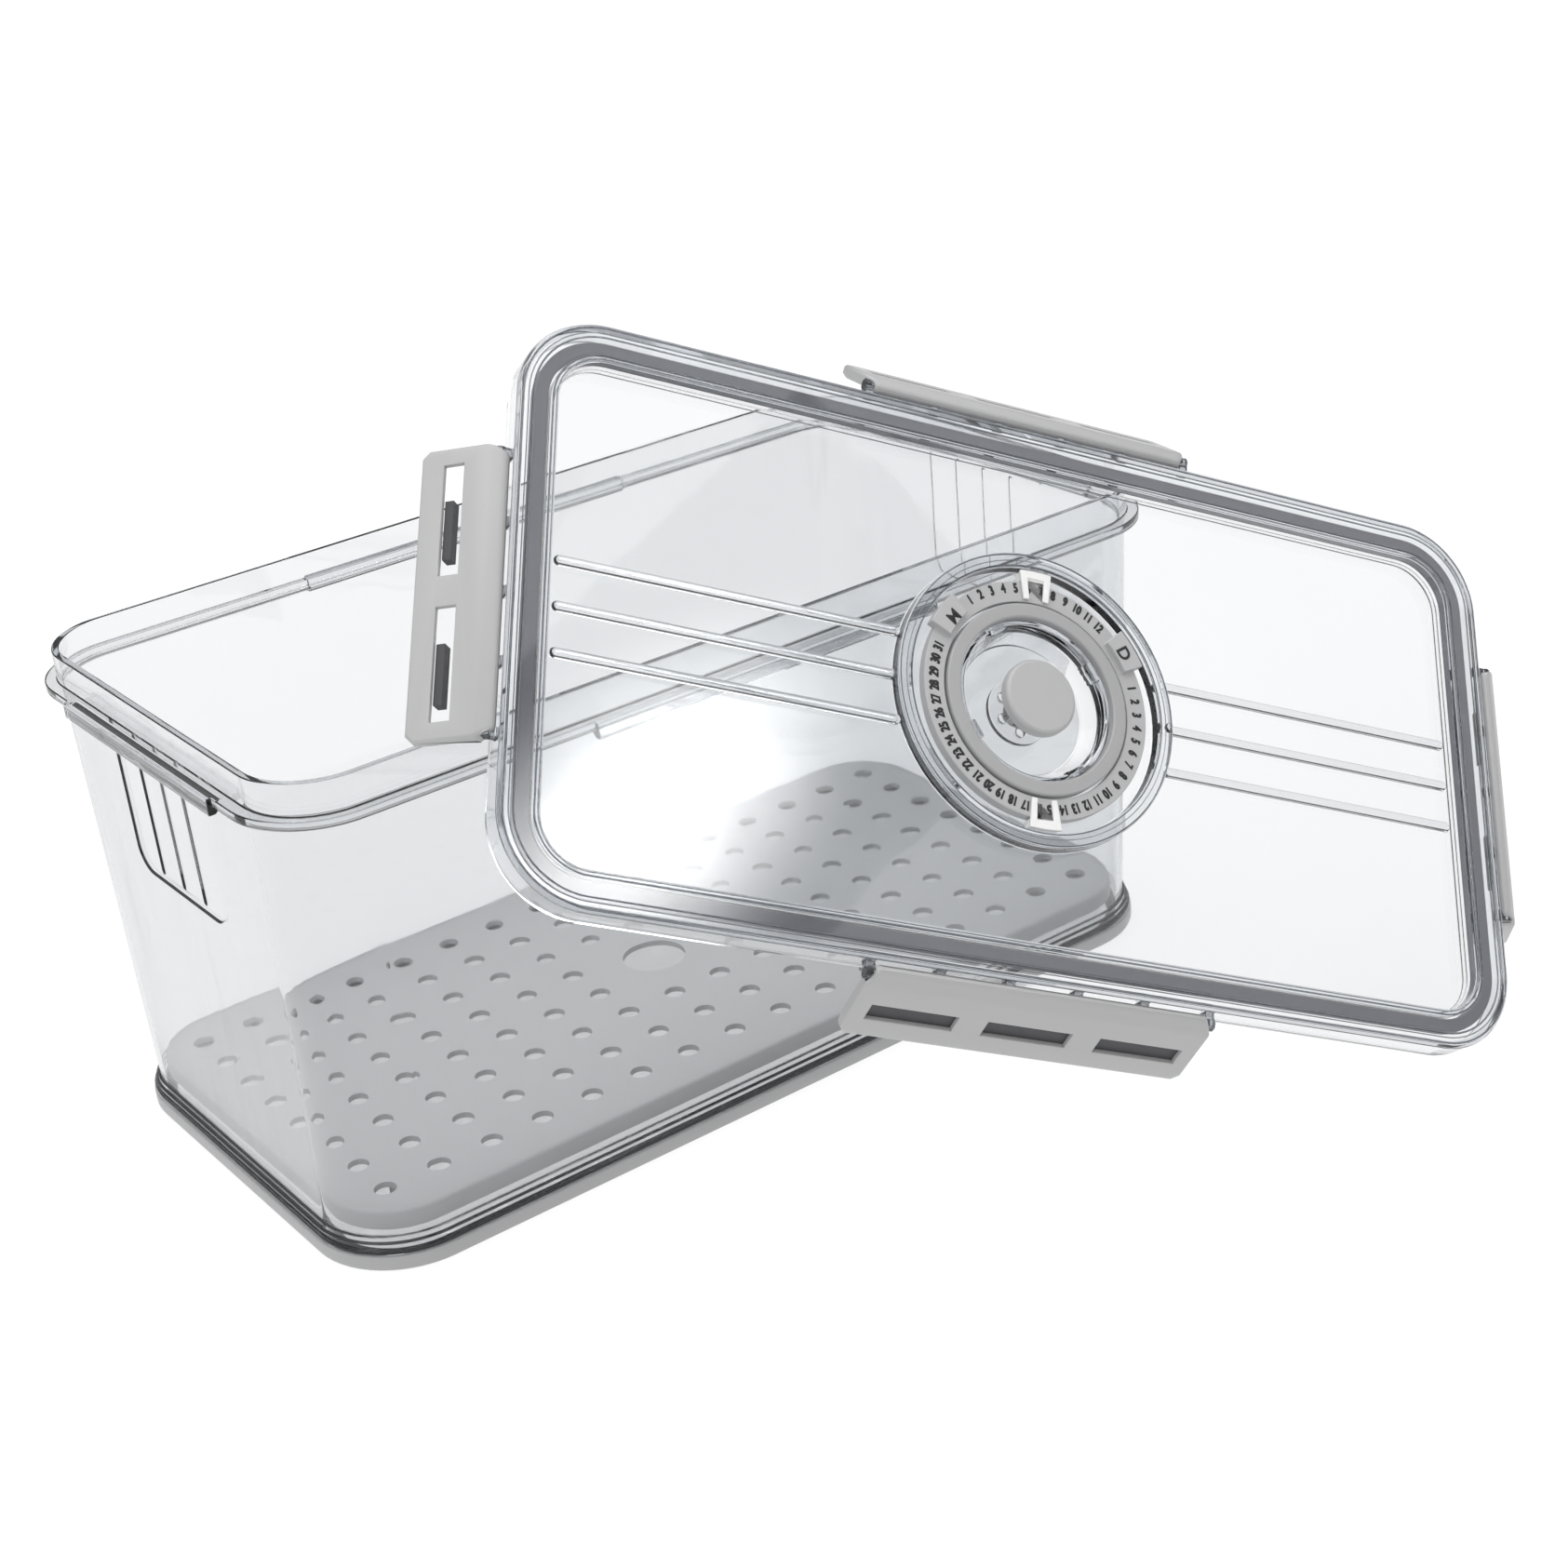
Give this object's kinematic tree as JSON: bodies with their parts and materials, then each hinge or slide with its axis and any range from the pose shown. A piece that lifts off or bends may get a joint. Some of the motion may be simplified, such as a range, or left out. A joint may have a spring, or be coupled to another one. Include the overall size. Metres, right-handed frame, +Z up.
{
  "type": "bread box",
  "caption": "Clear airtight bread box with a grey foot, a perforated lift-out drain tray and a clear lid with seal, swing latches, date dial and press vent, shown with the lid off.",
  "frame": {"origin": "middle of the foot's flat underside", "axes": "+X along the box, +Y away from the lid that leans on the box, +Z up"},
  "size_m": [0.4145, 0.3407, 0.2662],
  "materials": {
    "clear_plastic": "clear, polished",
    "grey_plastic": "satin",
    "tray_plastic": "matt",
    "dial_grey": "satin with printed numbers",
    "white_plastic": "satin",
    "grey_silicone": "matt"
  },
  "bodies": {
    "box": {"box_body": "clear_plastic", "base_foot": "grey_plastic"},
    "tray": {"drain_tray": "tray_plastic"},
    "lid": {"lid_panel": "clear_plastic", "lid_seal": "grey_silicone", "dial_scale": "dial_grey", "dial_bezel": "grey_plastic", "vent_cup": "clear_plastic"},
    "latch_front": {"latch_front": "grey_plastic"},
    "latch_back": {"latch_back": "grey_plastic"},
    "latch_left": {"latch_left": "grey_plastic"},
    "latch_right": {"latch_right": "grey_plastic"},
    "month": {"month_pointer": "white_plastic"},
    "day": {"day_pointer": "white_plastic"},
    "vent": {"vent_knob": "grey_plastic", "vent_plug": "grey_silicone"}
  },
  "joints": [
    {"name": "tray_lift", "type": "slide", "parent": "box", "child": "tray", "axis": [0, 0, 1], "range_m": [0, 0.12]},
    {"name": "lid_lift", "type": "slide", "parent": "box", "child": "lid", "axis": [0, 0, 1], "range_m": [0, 0.15]},
    {"name": "latch_front_swing", "type": "hinge", "parent": "lid", "child": "latch_front", "pos_m": [0.00566, -0.20404, 0.08016], "axis": [-0.8693, 0.2953, 0.3963], "range_deg": [-31, 89]},
    {"name": "latch_back_swing", "type": "hinge", "parent": "lid", "child": "latch_back", "pos_m": [0.09825, -0.10291, 0.2079], "axis": [0.8693, -0.2953, -0.3963], "range_deg": [-37, 83]},
    {"name": "latch_left_swing", "type": "hinge", "parent": "lid", "child": "latch_left", "pos_m": [-0.09835, -0.10242, 0.21256], "axis": [0.4941, 0.5396, 0.6817], "range_deg": [-47, 73]},
    {"name": "latch_right_swing", "type": "hinge", "parent": "lid", "child": "latch_right", "pos_m": [0.20227, -0.20453, 0.07551], "axis": [-0.4941, -0.5396, -0.6817], "range_deg": [-31, 89]},
    {"name": "month_pointer_slide", "type": "hinge", "parent": "lid", "child": "month", "pos_m": [0.05197, -0.15442, 0.14477], "axis": [0.0126, -0.7884, 0.615], "range_deg": [-38.4, 38.6]},
    {"name": "day_pointer_slide", "type": "hinge", "parent": "lid", "child": "day", "pos_m": [0.05197, -0.15442, 0.14477], "axis": [0.0126, -0.7884, 0.615], "range_deg": [-110, 104.7]},
    {"name": "vent_press", "type": "slide", "parent": "lid", "child": "vent", "axis": [-0.0126, 0.7884, -0.615], "range_m": [0, 0.003]}
  ]
}
